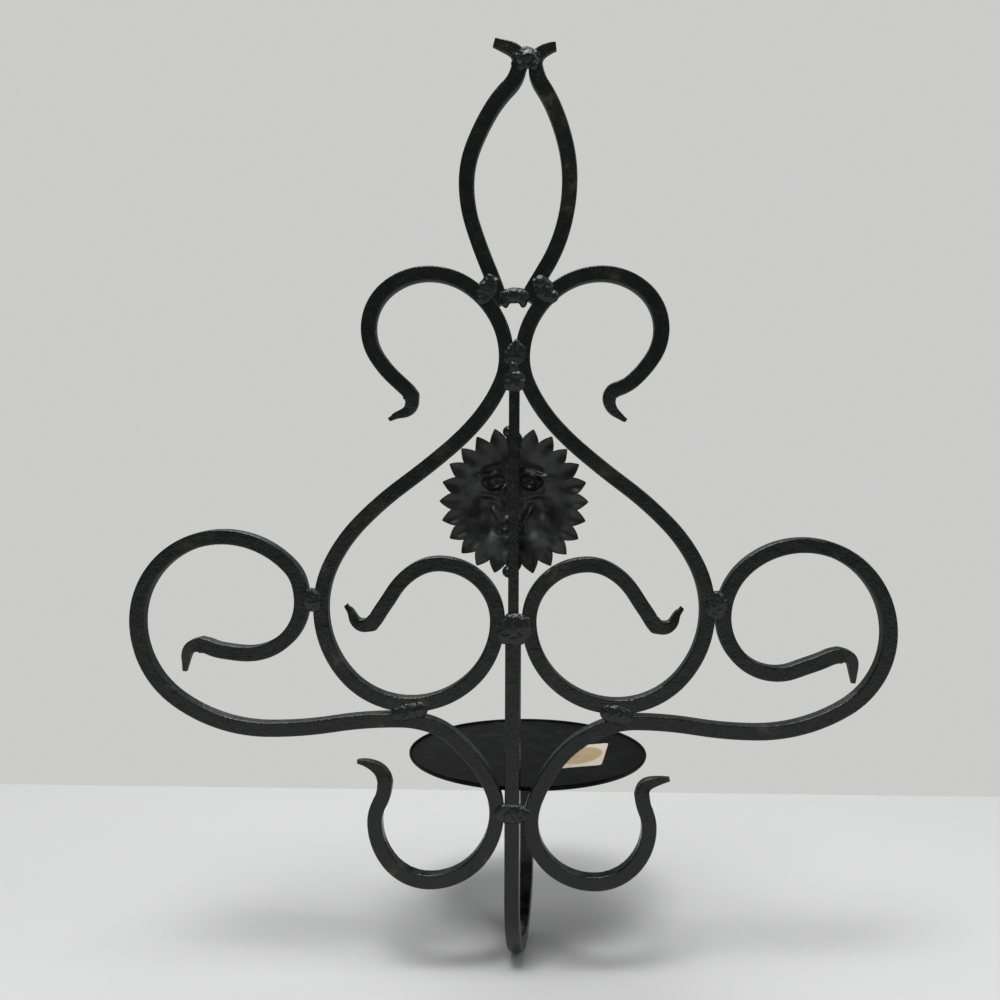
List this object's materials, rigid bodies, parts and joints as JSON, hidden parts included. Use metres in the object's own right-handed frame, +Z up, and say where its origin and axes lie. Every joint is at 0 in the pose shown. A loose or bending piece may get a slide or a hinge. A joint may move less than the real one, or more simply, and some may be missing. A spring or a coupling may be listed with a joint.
{
  "type": "wall candle sconce",
  "caption": "Wrought wall sconce of scrolled square bar with a hanging loop, a stamped sun ornament and a round drip pan on a U-bent bracket.",
  "frame": {"origin": "point under the neck of the two petals where the nail holds the hanging loop, in the middle plane of the bars", "axes": "+Z up, -Y to the front (room side), +Y to the wall, +X to the right as seen from the front"},
  "size_m": [0.3099, 0.1179, 0.3788],
  "materials": {
    "black_bar": "satin black paint over rolled bar, dusty on upper faces",
    "black_weld": "semi-gloss black paint over rippled weld metal",
    "paper_label": "matt cream paper with a plain ochre oval",
    "black_sheet": "satin black paint over thin sheet"
  },
  "bodies": {
    "root": {"petal_right": "black_bar", "petal_left": "black_bar", "s_bar_right": "black_bar", "s_bar_left": "black_bar", "scroll_right": "black_bar", "scroll_left": "black_bar", "upright": "black_bar", "candle_bracket": "black_bar", "sun_face": "black_sheet", "drip_pan": "black_sheet", "weld_loop_top": "black_weld", "weld_petal_right": "black_weld", "weld_petal_left": "black_weld", "weld_petal_bridge": "black_weld", "weld_neck": "black_weld", "weld_upright_top": "black_weld", "weld_side_right": "black_weld", "weld_side_left": "black_weld", "weld_foot_right": "black_weld", "weld_foot_left": "black_weld", "weld_waist": "black_weld", "weld_low": "black_weld", "weld_sun_top": "black_weld", "weld_sun_bottom": "black_weld", "weld_pan": "black_weld"}
  },
  "joints": []
}
